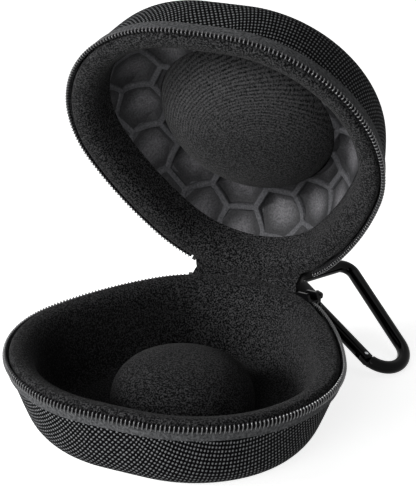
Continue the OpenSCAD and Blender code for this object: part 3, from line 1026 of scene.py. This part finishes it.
# --- hinge ---
@dataclass
class FabricHinge:
    """The cloth that joins both halves at the back, outside, and the fleece that crosses inside."""

    outline: CaseOutline
    cloth_t: float = 0.6
    turn_half: float = 0.5
    tuck: float = 1.2
    flare: float = 3.0
    cloth_l: float = 14.0
    columns: int = 60
    rows: int = 28
    outer_line: Section = ((1.3, 7.0), (0.5, 3.2), (0.35, 2.0), (1.1, 1.1))
    inner_line: Section = ((9.0, 2.5), (5.6, 0.85), (3.9, 0.35), (3.2, 0.5))

    def strip(self, name: str, line: Section, edge: float) -> Piece:
        """Builds a strip from the base over the hinge line to the lid.

        Args:
            name: the piece's name.
            line: inset and depth in the base, from its far edge to the fold.
            edge: the angle on the back arc where it ends on the right, in degrees.

        Returns:
            The strip, bent over the hinge line as the case stands open.
        """
        reach = self.outline.half_length - self.outline.along_back(edge)

        def place(first: Array, second: Array) -> tuple[Array, Array]:
            """Gives the strip's places, through both halves' points and the fold between them."""
            fold_away = np.clip(np.abs(second - 0.5) * 2, 0, 1)
            wide = reach - self.tuck + (self.tuck + self.flare) * fold_away**0.8
            offset = (first * 2 - 1) * wide
            station = offset + np.where(offset < 0, 1, -1) * self.outline.half_length
            stops = []
            for half, order in ((Half.BASE, line), (Half.LID, line[::-1])):
                for inset, depth in order:
                    plan = self.outline.plan(station, np.full_like(station, inset))
                    stops.append(self.outline.seat(half, plan, np.full_like(station, depth)))
            stops.insert(len(line), (stops[len(line) - 1] + stops[len(line)]) / 2)
            knots = np.array(stops)
            spot = second * (len(knots) - 1)
            low = np.minimum(spot.astype(int), len(knots) - 2)
            part = (spot - low)[:, None]
            index = np.arange(len(spot))
            before = knots[np.maximum(low - 1, 0), index]
            here, there = knots[low, index], knots[low + 1, index]
            after = knots[np.minimum(low + 2, len(knots) - 1), index]
            leave, arrive = (there - before) / 2, (after - here) / 2
            places = cubic(part, here, there, leave, arrive)
            return places, np.column_stack([offset, second * self.cloth_l])

        return wrapped(name, self.columns, self.rows, place)

    def bend(self, piece: Piece) -> None:
        """Bakes a strip's placement into its mesh."""
        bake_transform(piece)

    def build(self) -> None:
        """Builds the outer cloth and the inner fleece."""
        hinge = 90 - self.outline.hinge_half_angle
        outer = self.strip("hinge_cloth", self.outer_line, hinge)
        thicken(face(outer, Vector((0.0, 40.0, 31.0)), towards=False), self.cloth_t)
        self.bend(outer)
        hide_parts("hinge_panel_lower", "hinge_panel_upper")
        dress(outer, HINGE_CLOTH, smooth=70.0)
        inner = self.strip("hinge_fleece", self.inner_line, hinge - 1.0)
        thicken(face(inner, Vector((0.0, 20.0, 60.0)), towards=True), self.cloth_t)
        self.bend(inner)
        dress(inner, LINING_FLEECE, smooth=70.0)


# --- frame pieces that keep their shape ---
class Hardware:
    """Slider, clip and hidden pieces, whose shapes come straight from the frame."""

    kept: dict[Finish, tuple[str, ...]] = {
        CORE_FOAM: ("base_core", "lid_core", "base_rim_foam", "lid_rim_foam"),
        SLIDER_ENAMEL: ("zip_stops", "lid_zip_stop", "slider_body", "slider_bail", "zip_pull"),
        WEBBING: ("strap_loop",),
        PIN_STEEL: ("gate_pin", "gate_spring"),
    }
    rods: tuple[str, ...] = ("clip_frame", "clip_gate")

    def build(self) -> None:
        """Gives every kept piece its finish and rebuilds the clip's rods smooth."""
        for finish, nodes in self.kept.items():
            for node in nodes:
                obj = frame["nodes"][node]
                obj.data.materials.clear()
                obj.data.materials.append(finish.material())
                log.info("%s: %s", node, finish.name)
        for node in self.rods:
            self.polished(node)

    def polished(self, node: str) -> Piece:
        """Copies a rod piece of the frame, merges its triangles and shades it as polished."""
        source = frame["nodes"][node]
        body = source["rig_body"]
        copy = source.copy()
        copy.data = source.data.copy()
        for key in list(copy.keys()):
            del copy[key]
        copy.parent = None
        copy.name = copy.data.name = f"{node}_polished"
        bpy.context.scene.collection.objects.link(copy)
        edit(
            copy,
            lambda: bpy.ops.mesh.remove_doubles(threshold=MERGE_GAP),
            lambda: bpy.ops.mesh.customdata_custom_splitnormals_clear(),
        )
        stand_in(copy, body, node)
        return dress(copy, CLIP_ENAMEL, smooth=35.0)


# --- studio ---
@dataclass
class Studio:
    """White floor, soft lamps and the camera of the product view.

    The camera's place is in millimetres, its three angles are in degrees, and its lens and
    sensor in millimetres. A lamp is its name, place in metres, side in metres and watts.
    """

    camera_at: tuple[float, float, float] = (202.5, -463.9, 268.8)
    azimuth: float = 22.78
    elevation: float = 21.74
    roll: float = 1.20
    lens: float = 117.53
    sensor: float = 36.0
    room_light: float = 0.055
    floor_glow: float = 0.83
    floor_size: float = 6.0
    aim: tuple[float, float, float] = (0.0, 0.0, 0.05)
    lamps: tuple[tuple[str, tuple[float, float, float], float, float], ...] = (
        ("key_softbox", (-1.05, -0.9, 0.55), 0.5, 20.0),
        ("front_softbox", (-0.1, -1.4, 0.5), 0.8, 9.5),
        ("top_softbox", (-0.2, 0.2, 1.4), 0.7, 1.4),
    )

    def camera(self) -> None:
        """Adds the camera."""
        az, el, roll = (math.radians(a) for a in (self.azimuth, self.elevation, self.roll))
        back = Vector((math.sin(az) * math.cos(el), -math.cos(az) * math.cos(el), math.sin(el)))
        right = Vector((math.cos(az), math.sin(az), 0.0))
        up = back.cross(right)
        x_axis = math.cos(roll) * right + math.sin(roll) * up
        y_axis = -math.sin(roll) * right + math.cos(roll) * up
        bpy.ops.object.camera_add()
        made = bpy.context.active_object
        turned = Matrix((x_axis, y_axis, back)).transposed().to_4x4()
        made.matrix_world = Matrix.Translation(Vector(self.camera_at) * MM) @ turned
        made.data.lens = self.lens
        made.data.sensor_width = self.sensor
        made.data.clip_start, made.data.clip_end = 0.05, 8.0
        bpy.context.scene.camera = made

    def floor(self) -> None:
        """Adds the white floor, which keeps the shadow."""
        bpy.ops.object.select_all(action="DESELECT")
        bpy.ops.mesh.primitive_plane_add(size=self.floor_size)
        plane = bpy.context.active_object
        plane.name = "studio_floor"
        made = bpy.data.materials.new("White paper sweep")
        made.use_nodes = True
        tree = made.node_tree
        tree.nodes.clear()
        paper = add(tree, "ShaderNodeBsdfDiffuse", {"Color": linear("#f2f3f2")})
        strength = self.seen(tree, self.floor_glow)
        glow = add(tree, "ShaderNodeEmission", {"Color": linear("#ffffff"), "Strength": strength})
        both = add(tree, "ShaderNodeAddShader", {0: paper.outputs[0], 1: glow.outputs[0]})
        add(tree, "ShaderNodeOutputMaterial", {"Surface": both.outputs[0]})
        plane.data.materials.append(made)

    def seen(self, tree: Tree, strength: float) -> Socket:
        """Returns a strength that only camera, glossy and transmission rays meet."""
        rays = add(tree, "ShaderNodeLightPath", {}).outputs
        either = number(tree, "MAXIMUM", rays["Is Camera Ray"], rays["Is Glossy Ray"])
        met = number(tree, "MAXIMUM", either, rays["Is Transmission Ray"])
        return number(tree, "MULTIPLY", met, strength)

    def world(self) -> None:
        """Lights the room evenly and shows white behind the floor."""
        world = bpy.data.worlds.new("Studio room")
        bpy.context.scene.world = world
        world.use_nodes = True
        tree = world.node_tree
        tree.nodes.clear()
        level = number(tree, "ADD", self.seen(tree, 1.0 - self.room_light), self.room_light)
        light = add(tree, "ShaderNodeBackground", {"Color": linear("#ffffff"), "Strength": level})
        add(tree, "ShaderNodeOutputWorld", {"Surface": light.outputs[0]})

    def lamp(self, name: str, place: tuple[float, float, float], size: float, power: float) -> None:
        """Adds a square soft box that faces the case.

        Args:
            name: the lamp's name.
            place: where it hangs, in metres.
            size: its side, in metres.
            power: its power, in watts.
        """
        bpy.ops.object.light_add(type="AREA", location=place)
        made = bpy.context.active_object
        made.name = name
        made.data.energy = power
        made.data.size = size
        beam = Vector(self.aim) - Vector(place)
        made.rotation_euler = beam.to_track_quat("-Z", "Y").to_euler()

    def build(self) -> None:
        """Sets the whole studio up."""
        self.floor()
        self.world()
        for lamp in self.lamps:
            self.lamp(*lamp)
        self.camera()
        bpy.context.scene.view_settings.view_transform = "Standard"


# --- assembly ---
def outline_from_frame() -> CaseOutline:
    """Returns the outline, with the hinge's place and opening taken from the frame."""
    hinge = next(joint for joint in frame["joints"] if joint["name"] == "lid_hinge")
    _, hinge_y, zip_z = (value / MM for value in hinge["pos_m"])
    return CaseOutline(hinge_y=hinge_y, zip_z=zip_z, open_angle=-hinge["range_deg"][0])


def main() -> None:
    """Builds the case in order, then the studio."""
    outline = outline_from_frame()
    HalfShell(Half.BASE, outline).build()
    HalfShell(
        Half.LID,
        outline,
        zip_ends=(58.0, 54.5),
        cloth_turn=28.0,
        cover_line=FULLER_COVER,
        loop_h=1.4,
        loop_depth=1.25,
        crest=0.0,
    ).build()
    SoftDome(Half.BASE, outline, "base_mound", 52.0, 20.0, 2.8, LINING_FLEECE).build()
    SoftDome(Half.LID, outline, "lid_dome", 67.4, 17.0, 2.3, DOME_FLEECE).build()
    HexagonPad(outline).build()
    FabricHinge(outline).build()
    Hardware().build()
    Studio().build()


if __name__ == "__main__":
    main()
